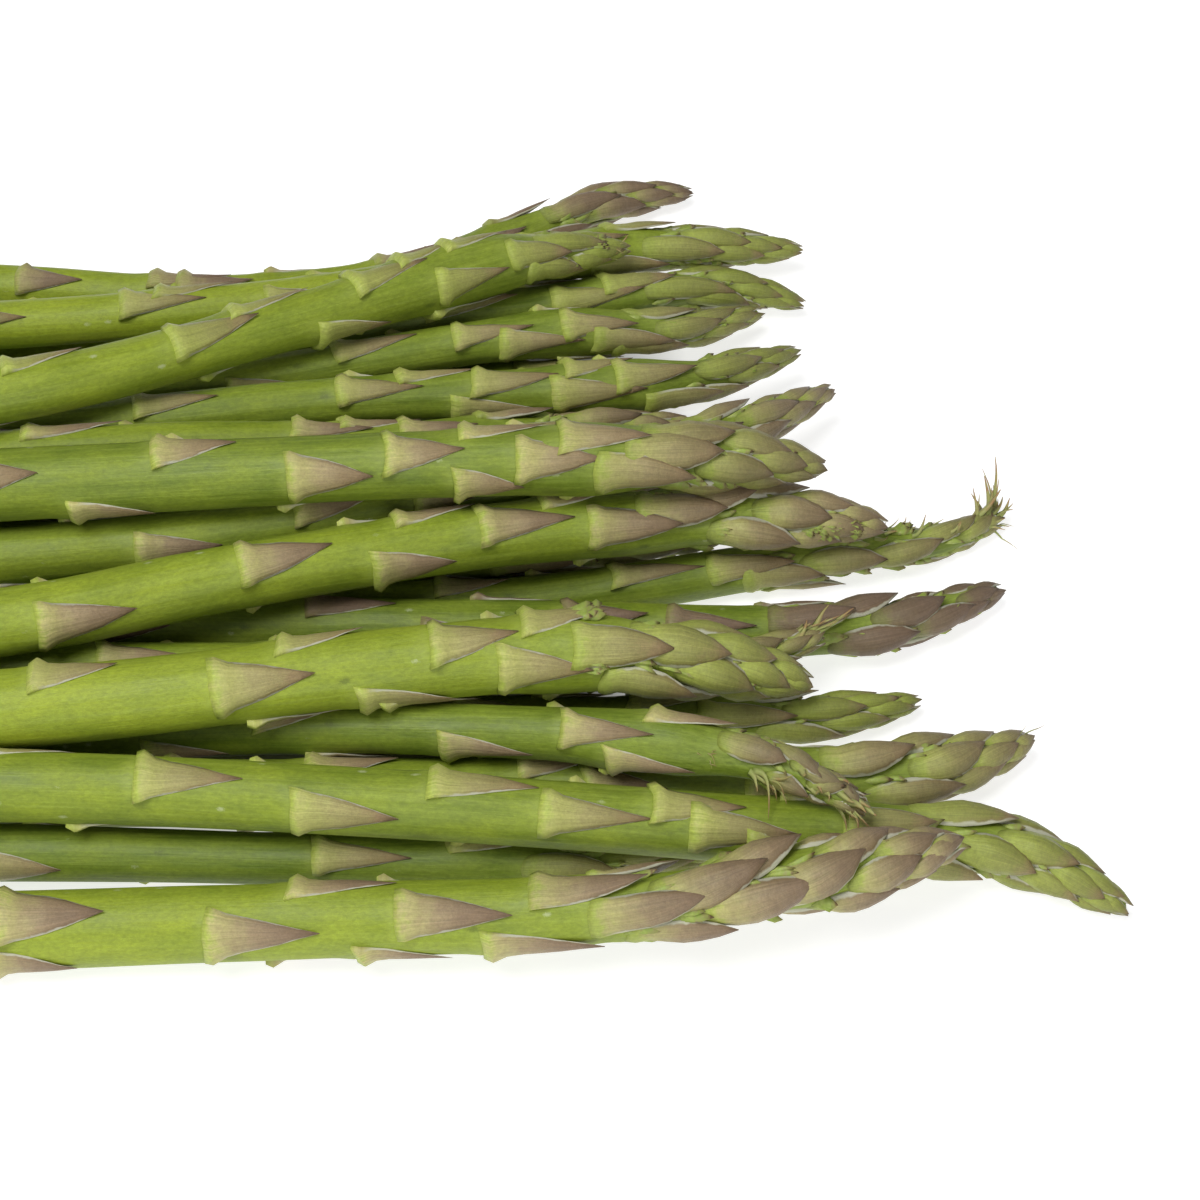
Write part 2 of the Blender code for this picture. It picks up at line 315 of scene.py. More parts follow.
def over_floor(points):
    """Height over the floor. What lies under a small height is squeezed by an exponential into the
    space over the floor, so that nothing passes through it and no two surfaces change places."""
    height = points[:, 2]
    low = SQUEEZED_UNDER * np.exp(np.minimum(height / SQUEEZED_UNDER - 1, 0))
    return np.where(height < SQUEEZED_UNDER, low, height)


def add_piece(name, points, groups, materials, attributes, slots=None):
    """A mesh object at the origin, with its faces outwards. groups holds an array of faces for each
    number of corners, slots the material of each face, and attributes one vector for each point."""
    points = np.column_stack([points[:, :2], over_floor(points)])
    if signed_volume(points, groups) < 0:
        groups = [faces[:, ::-1] for faces in groups]
    corners = np.concatenate([g.reshape(-1) for g in groups]).astype(np.int32)
    sizes = np.concatenate([np.full(len(g), g.shape[1]) for g in groups]).astype(np.int32)
    starts = np.concatenate([[0], np.cumsum(sizes)[:-1]]).astype(np.int32)
    mesh = bpy.data.meshes.new(name)
    mesh.vertices.add(len(points))
    mesh.vertices.foreach_set("co", points.astype(np.float32).ravel())
    mesh.loops.add(len(corners))
    mesh.loops.foreach_set("vertex_index", corners)
    mesh.polygons.add(len(sizes))
    mesh.polygons.foreach_set("loop_start", starts)
    mesh.polygons.foreach_set("loop_total", sizes)
    mesh.polygons.foreach_set("use_smooth", np.ones(len(sizes), bool))
    for material in materials:
        mesh.materials.append(material)
    if slots is not None:
        mesh.polygons.foreach_set("material_index", slots.astype(np.int32))
    mesh.update(calc_edges=True)
    for key, values in attributes.items():
        layer = mesh.attributes.new(key, "FLOAT_VECTOR", "POINT")
        layer.data.foreach_set("vector", values.astype(np.float32).ravel())
    item = bpy.data.objects.new(name, mesh)
    bpy.context.scene.collection.objects.link(item)
    return item


def put(tree, kind, inputs=None, **settings):
    """A node with its settings. Inputs are values or sockets, by name or number."""
    made = tree.nodes.new(kind)
    for key, value in settings.items():
        setattr(made, key, value)
    for key, value in (inputs or {}).items():
        if isinstance(value, bpy.types.NodeSocket):
            tree.links.new(value, made.inputs[key])
        else:
            made.inputs[key].default_value = value
    return made


def maths(tree, operation, first, second=0.0, clamp=False):
    values = {0: first, 1: second}
    return put(tree, "ShaderNodeMath", values, operation=operation, use_clamp=clamp).outputs[0]


def total(tree, first, second, clamp=False):
    return maths(tree, "ADD", first, second, clamp)


def product(tree, first, second, clamp=False):
    return maths(tree, "MULTIPLY", first, second, clamp)


def blend(tree, share, first, second, kind="MIX"):
    values = {0: share, 6: first, 7: second}
    return put(tree, "ShaderNodeMix", values, data_type="RGBA", blend_type=kind).outputs[2]


def coat(tree, under, paint, share):
    """A share of one plain colour over another colour."""
    return blend(tree, share, under, (*paint, 1))


def shaded(tree, colour, factor):
    """A colour made lighter or darker by a factor."""
    grey = put(tree, "ShaderNodeCombineColor", {0: factor, 1: factor, 2: factor}).outputs[0]
    return blend(tree, 1.0, colour, grey, "MULTIPLY")


def spread(tree, value, low, high, to_low=0.0, to_high=1.0):
    """Carries the range low to high over to another range, and clamps it."""
    names = {"Value": value, "From Min": low, "From Max": high, "To Min": to_low, "To Max": to_high}
    return put(tree, "ShaderNodeMapRange", names).outputs[0]


def vary(tree, pattern, to_low, to_high):
    """Carries a noise pattern, whose values mostly lie between 0.3 and 0.7, over to a range."""
    return spread(tree, pattern, 0.3, 0.7, to_low, to_high)


def noise(tree, vector, scale, detail=3.0, roughness=0.55):
    names = {"Vector": vector, "Scale": scale, "Detail": detail, "Roughness": roughness}
    return put(tree, "ShaderNodeTexNoise", names).outputs[0]


def stretched(tree, vector, scale):
    return put(tree, "ShaderNodeMapping", {"Vector": vector, "Scale": scale}).outputs[0]


def read(tree, name):
    """An attribute of the mesh, as a vector and its three parts."""
    vector = put(tree, "ShaderNodeAttribute", attribute_name=name).outputs["Vector"]
    return vector, put(tree, "ShaderNodeSeparateXYZ", {0: vector}).outputs


def ramp(tree, value, stops):
    """Colours in order along a value, each at its own place from 0 to 1."""
    made = put(tree, "ShaderNodeValToRGB", {0: value})
    elements = made.color_ramp.elements
    while len(elements) < len(stops):
        elements.new(0.5)
    for element, (place, colour) in zip(elements, stops):
        element.position = place
        element.color = (*colour, 1)
    return made.outputs[0]


SOFT_DEPTH = 1.2 * MM            # how far light passes into the flesh
SOFT_RADIUS = (0.8, 1.0, 0.25)   # shares of that depth for red, green and blue light
WAX = 0.36                       # specular level of the skin


def new_material(name, roughness, softness):
    """A Principled material, with the softness of light that passes a little way into the flesh."""
    material = bpy.data.materials.new(name)
    material.use_nodes = True
    tree = material.node_tree
    shader = tree.nodes["Principled BSDF"]
    for key, value in (("Roughness", roughness), ("Subsurface Weight", softness),
                       ("Subsurface Radius", SOFT_RADIUS), ("Subsurface Scale", SOFT_DEPTH),
                       ("Specular IOR Level", WAX)):
        shader.inputs[key].default_value = value
    return material, tree, shader


def dress(tree, shader, colour, height, strength, depth):
    """Gives the shader its colour, and a relief of that strength and depth from a pattern's height."""
    tree.links.new(colour, shader.inputs["Base Color"])
    bump = put(tree, "ShaderNodeBump", {"Strength": strength, "Distance": depth, "Height": height})
    tree.links.new(bump.outputs[0], shader.inputs["Normal"])


# ---------------------------------------------------------------- materials
# A piece carries some of four vectors at each point. skin is the place in millimetres, for a stem or
# a scale as if its spear were straight, with the distance from the tip last. tone is how purple the
# spear's scales, how light its stem and how fleshy this scale. growth is the pale ring under a scale
# and the distance from the butt. blade is the place across and along a scale, and its own random
# number.
def marks(tree, place, scale, rare, strength):
    """Small ragged marks in the few cells of a scattered pattern whose random number is over rare."""
    cell = put(tree, "ShaderNodeTexVoronoi",
               {"Vector": stretched(tree, place, (1, 1, 0.55)), "Scale": scale})
    lot = put(tree, "ShaderNodeSeparateColor", {0: cell.outputs["Color"]}).outputs[0]
    ragged = product(tree, noise(tree, place, 4.0, 3.0, 0.7), 0.30)
    near = total(tree, cell.outputs["Distance"], ragged)
    return product(tree, spread(tree, near, 0.22, 0.34, strength, 0.0),
                   maths(tree, "GREATER_THAN", lot, rare))


def skin_material(settings):
    """Waxy stem skin: lengthwise fibres and mottling over a green that deepens under the head and
    pales towards the butt, a pale ring under each leaf scale, small dark bruises and light specks."""
    material, tree, shader = new_material("stem_skin", 0.5, 0.06)
    place, (_, _, from_tip) = read(tree, "skin")
    _, (_, light, _) = read(tree, "tone")
    _, (ring, from_butt, _) = read(tree, "growth")
    fibre = noise(tree, stretched(tree, place, (1.0, 1.0, 0.03)), 1.3, 4.0, 0.6)
    thread = noise(tree, stretched(tree, place, (1.0, 1.0, 0.02)), 5.0, 2.0, 0.5)
    mottle = noise(tree, stretched(tree, place, (1.0, 1.0, 0.45)), 0.22, 3.0, 0.6)
    dust = noise(tree, stretched(tree, place, (1.0, 1.0, 0.5)), 2.2, 4.0, 0.7)
    grain = noise(tree, place, 7.0, 2.0, 0.6)

    shade = spread(tree, total(tree, light, vary(tree, mottle, -0.28, 0.28)), 0.0, 1.0)
    colour = blend(tree, shade, (*settings.deep_green, 1), (*settings.light_green, 1))
    colour = coat(tree, colour, settings.deep_green, spread(tree, from_tip, 20.0, 80.0, 0.55, 0.0))
    streak = spread(tree, total(tree, fibre, product(tree, thread, 0.5)), 0.55, 0.95)
    colour = coat(tree, colour, settings.fibre_colour, product(tree, streak, 0.42))
    bloom = product(tree, vary(tree, grain, 0.93, 1.06), vary(tree, dust, 0.80, 1.16))
    colour = shaded(tree, colour, bloom)
    colour = coat(tree, colour, settings.ring_colour, product(tree, ring, 0.22))
    pale = spread(tree, from_butt, 0.0, 34.0, 0.8, 0.0)
    pale = product(tree, pale, spread(tree, fibre, 0.35, 0.65, 0.75, 1.1), clamp=True)
    colour = coat(tree, colour, settings.blanched, pale)
    for paint, scale, rare, strength in ((settings.bruise, 0.30, 0.85, 0.55),
                                         (settings.bruise, 0.13, 0.80, 0.35),
                                         (settings.speck, 0.45, 0.90, 0.50)):
        colour = coat(tree, colour, paint, marks(tree, place, scale, rare, strength))
    tree.links.new(vary(tree, mottle, 0.44, 0.60), shader.inputs["Roughness"])
    relief = total(tree, fibre, product(tree, thread, 0.6))
    relief = total(tree, relief, product(tree, dust, 0.8))
    dress(tree, shader, colour, relief, 0.45, 0.14 * MM)
    return material


def cut_material(settings):
    """The cut face of a butt: pale wet flesh with darker vascular dots and a green outer rim."""
    material, tree, shader = new_material("cut_face", 0.5, 0.2)
    place, (x, y, _) = read(tree, "skin")
    cells = put(tree, "ShaderNodeTexVoronoi", {"Vector": stretched(tree, place, (1, 1, 0)), "Scale": 1.25})
    dots = spread(tree, cells.outputs["Distance"], 0.16, 0.34, 1.0, 0.0)
    cloud = noise(tree, place, 0.9)
    colour = blend(tree, cloud, (*settings.flesh, 1), (*settings.dull_flesh, 1))
    colour = coat(tree, colour, settings.vessels, product(tree, dots, 0.55))
    out = maths(tree, "SQRT", total(tree, product(tree, x, x), product(tree, y, y)))
    colour = coat(tree, colour, settings.rim, spread(tree, out, 3.2, 5.2, 0.0, 0.6))
    dress(tree, shader, colour, total(tree, dots, product(tree, cloud, 1.5)), 0.5, 0.25 * MM)
    return material


def leaf_material(settings):
    """Leaf scale: yellow-green at the base, tan in the middle and brown at the tip, or green most of
    the way in a head that isn't purple. Veins and finer hairs run to the tip over it, with dark
    freckles and margins and a thin silvery edge. In the head, the foot of each scale gets painted
    shade where the scale behind overlaps it. On a spear with a dark stem the head's scales are
    darker, partly from their own tone and partly from painted shade."""
    material, tree, shader = new_material("leaf_scale", 0.5, 0.04)
    blade, (u, v, _) = read(tree, "blade")
    _, (purple, light, flesh) = read(tree, "tone")
    place, _ = read(tree, "skin")
    along_veins = stretched(tree, blade, (9.0, 0.7, 17.0))
    vein = noise(tree, along_veins, 1.6, 4.0, 0.65)
    hair = noise(tree, stretched(tree, along_veins, (3.0, 1.0, 1.0)), 1.6, 2.0, 0.6)
    patch = noise(tree, place, 0.55, 3.0, 0.6)
    cloud = noise(tree, place, 2.4, 3.0, 0.7)
    freckle = noise(tree, place, 6.0, 2.0, 0.7)

    along = total(tree, v, spread(tree, vein, 0.25, 0.75, -0.05, 0.05))
    along = total(tree, along, vary(tree, patch, -0.07, 0.07))
    along = maths(tree, "SUBTRACT", along, product(tree, flesh, 0.12))
    dry = ramp(tree, along, ((0.0, settings.base_green), (0.10, settings.pale_base),
                             (0.40, settings.tan), (0.78, settings.brown), (1.0, settings.tip)))
    green = ramp(tree, along, ((0.0, settings.base_green), (0.20, settings.fresh_green),
                               (0.60, settings.leaf_green), (0.85, settings.brown), (1.0, settings.tip)))
    on_stem = product(tree, spread(tree, purple, 0.0, 0.6, 0.15, 1.0), maths(tree, "SUBTRACT", 1.0, flesh))
    on_head = product(tree, spread(tree, purple, 0.25, 0.90), flesh)
    colour = blend(tree, total(tree, on_stem, on_head, clamp=True), green, dry)
    deeper = total(tree, along, spread(tree, purple, 0.85, 1.0, 0.0, 0.45))
    flush = product(tree, spread(tree, purple, 0.35, 1.0, 0.0, 0.85), spread(tree, deeper, 0.0, 0.6))
    colour = coat(tree, colour, settings.purple, flush)
    # Partly the scales' own tone and partly painted shade: a head's scales are darker on a spear whose
    # stem is dark.
    darker = product(tree, flesh, spread(tree, light, 0.15, 0.4, 0.29, 0.12))
    colour = shaded(tree, colour, maths(tree, "SUBTRACT", 1.0, darker))
    streak = product(tree, vary(tree, vein, 0.78, 1.18), vary(tree, hair, 0.88, 1.10))
    colour = shaded(tree, colour, product(tree, streak, vary(tree, cloud, 0.86, 1.12)))
    dots = product(tree, spread(tree, freckle, 0.52, 0.70, 0.0, 0.42), spread(tree, v, 0.1, 0.6))
    colour = coat(tree, colour, settings.tip, dots)

    edge = maths(tree, "ABSOLUTE", u)
    margin = product(tree, spread(tree, edge, 0.70, 0.90, 0.0, 0.55), spread(tree, v, 0.2, 0.6))
    colour = coat(tree, colour, settings.tip, margin)
    # Painted shade: the foot of a head's scale is darkened where the scale behind it overlaps.
    foot = product(tree, spread(tree, v, 0.0, 0.16, 0.42, 0.0), flesh)
    colour = coat(tree, colour, settings.painted_overlap_shade, foot)
    wander = total(tree, edge, vary(tree, patch, -0.05, 0.05))
    wander = total(tree, wander, product(tree, flesh, 0.05))
    film = product(tree, spread(tree, wander, 0.90, 0.97, 0.0, 0.85), spread(tree, v, 0.10, 0.22))
    film = product(tree, film, spread(tree, v, 0.80, 0.98, 1.0, 0.25))
    colour = coat(tree, colour, settings.film, film)
    tree.links.new(vary(tree, patch, 0.38, 0.54), shader.inputs["Roughness"])
    relief = total(tree, vein, product(tree, freckle, 0.35))
    dress(tree, shader, colour, relief, 0.8, 0.16 * MM)
    return material


def patchy_material(name, roughness, softness, scale, colours, strength, depth):
    """Colours in order from the base to the tip of each small blade, pushed to and fro by patches."""
    material, tree, shader = new_material(name, roughness, softness)
    _, (_, v, _) = read(tree, "blade")
    place, _ = read(tree, "skin")
    patch = noise(tree, place, scale)
    colour = ramp(tree, total(tree, v, vary(tree, patch, -0.3, 0.3)), colours)
    dress(tree, shader, colour, patch, strength, depth)
    return material


def bud_material(settings):
    """Tiny unopened buds: yellow-green at the base, then green and olive, with brown tips."""
    colours = ((0.0, settings.bud_base), (0.4, settings.bud_green), (0.8, settings.bud_olive),
               (1.0, settings.bud_tip))
    return patchy_material("bud_green", 0.5, 0.15, 1.4, colours, 0.4, 0.1 * MM)


def thread_material(settings):
    """Dried threads: green at the root, then straw, with brown ends."""
    colours = ((0.0, settings.thread_green), (0.55, settings.straw), (1.0, settings.thread_brown))
    return patchy_material("dried_thread", 0.6, 0.05, 0.8, colours, 0.3, 0.05 * MM)


# ---------------------------------------------------------------- shapes
FILLED_OUT = (0.66, 1.22)    # shares of the head's length over which its core fills out to a stem
FLESHY = (0.62, 1.38)        # shares of it over which scales turn from fleshy to thin
CORE_INSIDE = 0.36           # share of the radius that is left to a head's scales
SKIN_INSIDE = 0.10 * MM      # how far a stem's skin stands inside the solid
FIRST_SCALE = 4.2 * MM       # distance of the first scale of the spiral from the tip
TURN_STRAY = 0.07            # how far a scale strays from its golden turn (radians)
IN_VIEW = 105                # degrees to either side of the camera's direction that show
KEPT_AHEAD = 2.5             # how far placed scales keep the spiral's away towards the tip (mm)
KEPT_BEHIND = 14             # and towards the butt (mm)
OVER_FLOOR = 0.3 * MM        # least height of a dried strand's middle over the floor
CROWDING = 1.4               # power that crowds a scale's rows towards its base
POINT_HALF = 0.04 * MM       # half width of a scale's very tip
ROOT_DEPTH = 0.3 * MM        # how deep a scale's base goes into the stem
OVERHANG = 1.03              # share of the outline's radius that a head's scales reach
BUDS_BESIDE = 3              # small buds at each scale of a head
NODE_ROOM = 9 * MM           # beyond this a scale's swelling is nothing
CAP_RINGS = 6                # rings of a cut face
CUT_SINK = 0.5 * MM          # how far the middle of a cut face sinks
STRAND_POINTS = 12           # points along a dried strand
STRAND_SIDES = 4


def number_of(name):
    return int(name[-2:])


def outline(spear, distance):
    """The solid's radius, drawn in over the last two millimetres, so that the tip closes."""
    return spear.envelope(distance) * (0.30 + 0.70 * smoothstep(-0.6 * MM, 2.4 * MM, distance))


def core_radius(spear, character, distance):
    """Stem skin: a little inside the solid, and in the head at a share of its radius, under scales
    that fill up the rest."""
    in_head = 1 - smoothstep(*FILLED_OUT, distance / character.head)
    return outline(spear, distance) * (1 - CORE_INSIDE * in_head) - SKIN_INSIDE * (1 - in_head)


LEAF_KEYS = ("at", "turn", "length", "width", "flesh", "skew", "lift", "belly", "near_ear", "far_ear",
             "taper", "seed")


def leaf_places(spear, character, settings):
    """Every leaf scale of a spear: its distance from the tip, angle, size, fleshiness, and the small
    differences that make no two alike. A scale stands one golden turn on from the last, and the step
    between them grows with the distance from the tip. Among the placed ones, those of the spiral
    that would show are left out. In the head a scale's length grows with its distance from the tip,
    and its width with the thickness of the spear under its middle."""
    draw = np.random.default_rng(number_of(spear.name) * 7 + 1)
    placed = np.array(PLACED.get(spear.name, ()), float).reshape(-1, 3)
    rows = []
    distance, turn = FIRST_SCALE, character.start
    while distance < spear.length - settings.bare_butt:
        rows.append((distance / MM, math.degrees(turn), 0.0))
        distance += settings.first_step + settings.step_growth * distance
        turn += character.wind * GOLDEN + draw.normal(0, TURN_STRAY)
    rows = np.array(rows)
    if len(placed):
        facing = np.abs((rows[:, 1] - math.degrees(FACING) + 180) % 360 - 180) < IN_VIEW
        among = ((rows[:, 0] > placed[:, 0].min() - KEPT_AHEAD)
                 & (rows[:, 0] < placed[:, 0].max() + KEPT_BEHIND))
        rows = np.concatenate([rows[~(facing & among)], placed])
        rows = rows[np.argsort(rows[:, 0])]
    count = len(rows)
    at = rows[:, 0] * MM
    share = at / character.head
    flesh = 1 - smoothstep(*FLESHY, share)
    grown = (10.0 * MM + 0.6 * spear.envelope(at)) * draw.uniform(0.9, 1.1, count)
    given = rows[:, 2] > 0
    length = np.where(given, rows[:, 2] * MM, grown)
    in_head = np.where(given, length, 0.36 * at + 3.7 * MM)
    length = np.where(share < 1.0, np.minimum(np.minimum(length, in_head), 0.96 * at), length)
    middle = spear.envelope(np.maximum(at - 0.4 * length, 0))
    slender = 0.53 + 0.26 * np.exp(-at / (7 * MM))
    broad = 0.62 + 0.12 * smoothstep(1.4, 2.6, share)
    width = (flesh * slender + (1 - flesh) * broad) * middle * draw.uniform(0.92, 1.08, count)
    torn = 1 + 2.5 * character.ragged * flesh
    length *= 1 - character.ragged * flesh * draw.uniform(0.0, 0.3, count)
    return dict(
        at=at, turn=np.radians(rows[:, 1]), length=length, width=width, flesh=flesh,
        skew=character.lean * length * flesh + draw.normal(0, 0.35 * MM, count) * torn,
        lift=(0.10 * MM + np.abs(draw.normal(0, 0.20 * MM, count))) * torn,
        belly=draw.uniform(0.1, 1.1, count) * MM, near_ear=draw.uniform(0.2, 1.4, count) * MM,
        far_ear=draw.uniform(0.2, 1.4, count) * MM, taper=draw.uniform(0.45, 1.15, count),
        seed=draw.uniform(0, 1, count))


def leaf_blades(spear, character, leaf, rows, columns, height=None):
    """Closed blades for all the scales of a spear at once, as points, faces and attributes.

    With u from -1 to 1 across and v from 0 at the base to 1 at the tip, a blade's half width
    tapers as a power of one less v on the stem, and in the head swells from a narrow base before it
    closes to a point. The base line bellies towards the butt and runs out in an ear at either
    corner. On the stem the surface stands off by a rounded lip at the base that dies away, and where
    the core is thinner than the outline it spares that room too. In the head it rises from the core
    to the outline, bellies out by half a sine, nods in at the tip and falls towards both margins.
    Feet under the rim lie one thickness below, and inside the stem at the base. A height given for
    each blade takes the place of the room between the core and the outline.
    """
    v = (np.arange(rows) / (rows - 1)) ** CROWDING
    u = np.linspace(-1, 1, columns)
    v, u = [a[None] for a in np.meshgrid(v, u, indexing="ij")]
    at, turn, length, width, flesh, skew, lift, belly, near_ear, far_ear, taper, seed = [
        values[:, None, None] for values in (leaf[key] for key in LEAF_KEYS)]
    side = np.abs(u)
    on_stem = np.maximum(1 - v, 0) ** 1.25 * (1 + taper * v) * (1 + 0.10 * np.exp(-((v / 0.07) ** 2)))
    on_head = np.maximum(1 - v, 0) * (0.52 + 1.9 * v) / 0.75
    half = width * ((1 - flesh) * on_stem + flesh * on_head) + POINT_HALF
    ear = np.where(u < 0, near_ear, far_ear) * np.exp(-(((side - 0.9) / 0.22) ** 2))
    base_line = (belly * (1 - u**2) + ear) * (1 - 0.55 * flesh) + 1.0 * MM * flesh * (1 - u**2)
    distance = at - length * v + base_line * (1 - v) ** 5
    core = core_radius(spear, character, np.maximum(distance, 0))
    wave = (0.07 + 0.25 * character.ragged * flesh) * MM * np.sin(11 * v + 40 * seed) * side**3
    angle = turn + (u * half + skew * v**1.6) / np.maximum(core + 0.4 * MM, 1.1 * MM)

    # How far the upper side stands off the core, on a stem and in a head.
    round_lip = smoothstep(-0.06, 0.06, v) * np.exp(-((np.maximum(v - 0.05, 0) / 0.10) ** 2))
    lip = (0.55 * MM + 0.11 * core) * round_lip * (1 - 0.25 * u**2)
    flare = 0.30 * MM * round_lip * smoothstep(0.5, 0.9, side)
    falling = 1 - 0.5 * (1 - v) * side**2.5
    flat = 0.24 * MM * (1 - 0.45 * v) * falling + 0.30 * MM * np.sin(math.pi * v) * (1 - u**2)
    room = outline(spear, np.maximum(distance, 0)) * OVERHANG - core
    gap = room if height is None else height
    spare = np.maximum(gap - 0.3 * MM, 0) * smoothstep(0.0, 0.5, v) * falling
    stem_rise = lip + flare + flat + spare
    keel = 1 - np.minimum(on_head, 1) ** 0.7 * (0.12 * side + 0.70 * side**2.4)
    nod = 1 + 0.13 * np.sin(math.pi * v) - 0.15 * smoothstep(0.65, 1.0, v)
    head_rise = gap * smoothstep(-0.10, 0.46, v) * nod * keel + 0.10 * MM
    head_rise = head_rise + 0.30 * MM * round_lip * (1 - 0.5 * side**2)
    rise = (1 - flesh) * stem_rise + flesh * head_rise + wave + lift * (1 - 0.6 * flesh) * v**4

    # The feet, which sink into the stem near the base.
    thick = (0.22 + 0.25 * flesh) * MM * (1 - 0.8 * v)
    rooted = 1 - smoothstep(0.06, 0.34, v)
    under = (1 - rooted) * (rise - thick) + rooted * np.minimum(-ROOT_DEPTH, rise - thick)

    rim, quads, ends = blade_faces(rows, columns)
    count = len(seed)
    shape = (count, rows, columns)

    def grown(values):
        """The values on the top grid, then those of its rim again for the feet."""
        top = np.broadcast_to(values, shape).reshape(count, -1)
        return np.concatenate([top, top[:, rim]], axis=1)

    radius = grown(core + rise)
    radius[:, rows * columns:] = np.broadcast_to(core + under, shape).reshape(count, -1)[:, rim]
    distance, angle = grown(distance), grown(angle)
    points = spear.point(distance, angle, radius).reshape(-1, 3)
    core = grown(core)
    skin = np.stack([core * np.cos(angle), core * np.sin(angle), distance], axis=-1) / MM
    blade = np.stack([grown(u), grown(v), grown(seed)], axis=-1)
    tone = np.stack([grown(character.purple), grown(character.light), grown(flesh)], axis=-1)
    first = (np.arange(count) * (rows * columns + len(rim)))[:, None, None]
    groups = [(faces + first).reshape(-1, faces.shape[1]) for faces in (quads, ends)]
    attributes = {"skin": skin, "blade": blade, "tone": tone}
    return points, groups, {key: values.reshape(-1, 3) for key, values in attributes.items()}


def stem_surface(spear, character, leaf, settings):
    """A stem as rings round the centre line, closed at both ends.

    The radius is the stem's own, plus shallow lengthwise flutes, a slow unevenness, and under the
    base of each leaf scale a swelling that falls off as a bell curve along and around the stem.
    The butt turns over a small round edge into a cut face that sinks a little to its middle.
    """
    around = settings.facets
    along = np.arange(1.5 * MM, spear.length, settings.ring_step)
    cap = np.linspace(0.96, 0.12, CAP_RINGS)
    distance = np.concatenate([along, np.full(len(cap) + 1, spear.length)])
    shrink = np.concatenate([np.ones(len(along)), [0.985], cap])
    sunk = np.concatenate([np.zeros(len(along) + 1), CUT_SINK * (1 - cap**2)])
    angle = np.arange(around) * 2 * math.pi / around
    s, a = np.meshgrid(distance, angle, indexing="ij")
    radius = core_radius(spear, character, s)
    number = number_of(spear.name)
    flute = np.cos(9 * a + number) * 0.5 + np.cos(14 * a + 2.1 * number) * 0.5
    uneven = np.sin(s / (19 * MM) + number) * np.cos(a * 2 + number) + 0.6 * np.sin(s / (7 * MM) + 3 * a)
    radius = radius + settings.flute_depth * flute + 0.05 * MM * uneven

    ring = np.zeros_like(s)
    for at, turn, width in zip(leaf["at"], leaf["turn"], leaf["width"]):
        near = np.abs(distance - at) < NODE_ROOM
        off = (a[near] - turn + math.pi) % (2 * math.pi) - math.pi
        reach = width / core_radius(spear, character, at)
        bell = np.exp(-((off / (1.05 * reach)) ** 4))
        swell = np.exp(-(((s[near] - at - 0.6 * MM) / (1.9 * MM)) ** 2))
        pale = np.exp(-(((s[near] - at - 0.5 * MM) / (1.3 * MM)) ** 2))
        radius[near] += settings.node_swell * bell * swell
        ring[near] = np.maximum(ring[near], bell * pale)
    radius = radius * shrink[:, None]
    points = spear.point(s - sunk[:, None], a, radius)
    rings = len(distance)
    poles = spear.point(np.array([0.9 * MM, spear.length - 0.55 * MM]), np.zeros(2), np.zeros(2))
    points = np.concatenate([points.reshape(-1, 3), poles])
    quads = grid_faces(rings, around, wrap=True)
    k = np.arange(around)
    n = (k + 1) % around
    last = (rings - 1) * around
    tip_fan = np.stack([n, k, np.full(around, rings * around)], axis=1)
    end_fan = np.stack([last + k, last + n, np.full(around, rings * around + 1)], axis=1)
    triangles = np.concatenate([tip_fan, end_fan])
    cut_from = len(along) * around
    slots = np.concatenate([(quads.max(axis=1) >= cut_from + around).astype(int), np.zeros(around, int),
                            np.ones(around, int)])

    def full(values, tip_value, end_value):
        return np.concatenate([np.broadcast_to(values, s.shape).reshape(-1), [tip_value, end_value]])

    skin = np.stack([full(radius * np.cos(a), 0, 0), full(radius * np.sin(a), 0, 0),
                     full(s, 0, spear.length)], axis=1) / MM
    none = full(0.0, 0, 0)
    tone = np.stack([full(character.purple, 0, 0), full(character.light, 0, 0), none], axis=1)
    from_butt = full(spear.length - s, spear.length, 0) / MM
    growth = np.stack([full(ring, 0, 0), from_butt, none], axis=1)
    return points, [quads, triangles], slots, {"skin": skin, "tone": tone, "growth": growth}


def side_buds(spear, character, leaf, extra, draw):
    """Small buds that fill the gaps beside the head's scales, and any extra ones, given as distance
    (mm), angle (degrees), count, size and height (mm). Each is a short fleshy blade."""
    chosen = (leaf["flesh"] > 0.45) & (leaf["at"] > 6 * MM)
    at, turn, length, width = [np.repeat(leaf[key][chosen], BUDS_BESIDE)
                               for key in ("at", "turn", "length", "width")]
    count = len(at)
    distance = at - length * draw.uniform(0.05, 0.75, count)
    core = core_radius(spear, character, distance)
    angle = turn + np.sign(draw.uniform(-1, 1, count)) * draw.uniform(0.7, 1.15, count) * width / core
    height = (spear.envelope(distance) - core) * draw.uniform(0.35, 0.8, count)
    size = (0.45 * MM + 0.028 * distance) * draw.uniform(0.7, 1.2, count)
    rows = [np.stack([distance, angle, size, height], axis=1)]
    for place, degrees, count, size, height in extra:
        aside = draw.uniform(-1.3, 1.3, count) * size * MM
        distance = (place + draw.uniform(-1.3, 1.3, count) * size) * MM
        angle = math.radians(degrees) + aside / core_radius(spear, character, distance)
        sizes = size * MM * draw.uniform(0.7, 1.2, count)
        heights = height * MM * draw.uniform(0.4, 1.1, count)
        rows.append(np.stack([distance, angle, sizes, heights], axis=1))
    distance, angle, size, height = np.concatenate(rows).T
    count = len(size)
    bud = {key: np.zeros(count) for key in LEAF_KEYS}
    bud.update(at=distance + size, turn=angle, length=2.6 * size, width=0.62 * size,
               flesh=np.ones(count), skew=draw.normal(0, 0.5, count) * size,
               lift=0.3 * size, seed=draw.uniform(0, 1, count))
    return bud, height[:, None, None]


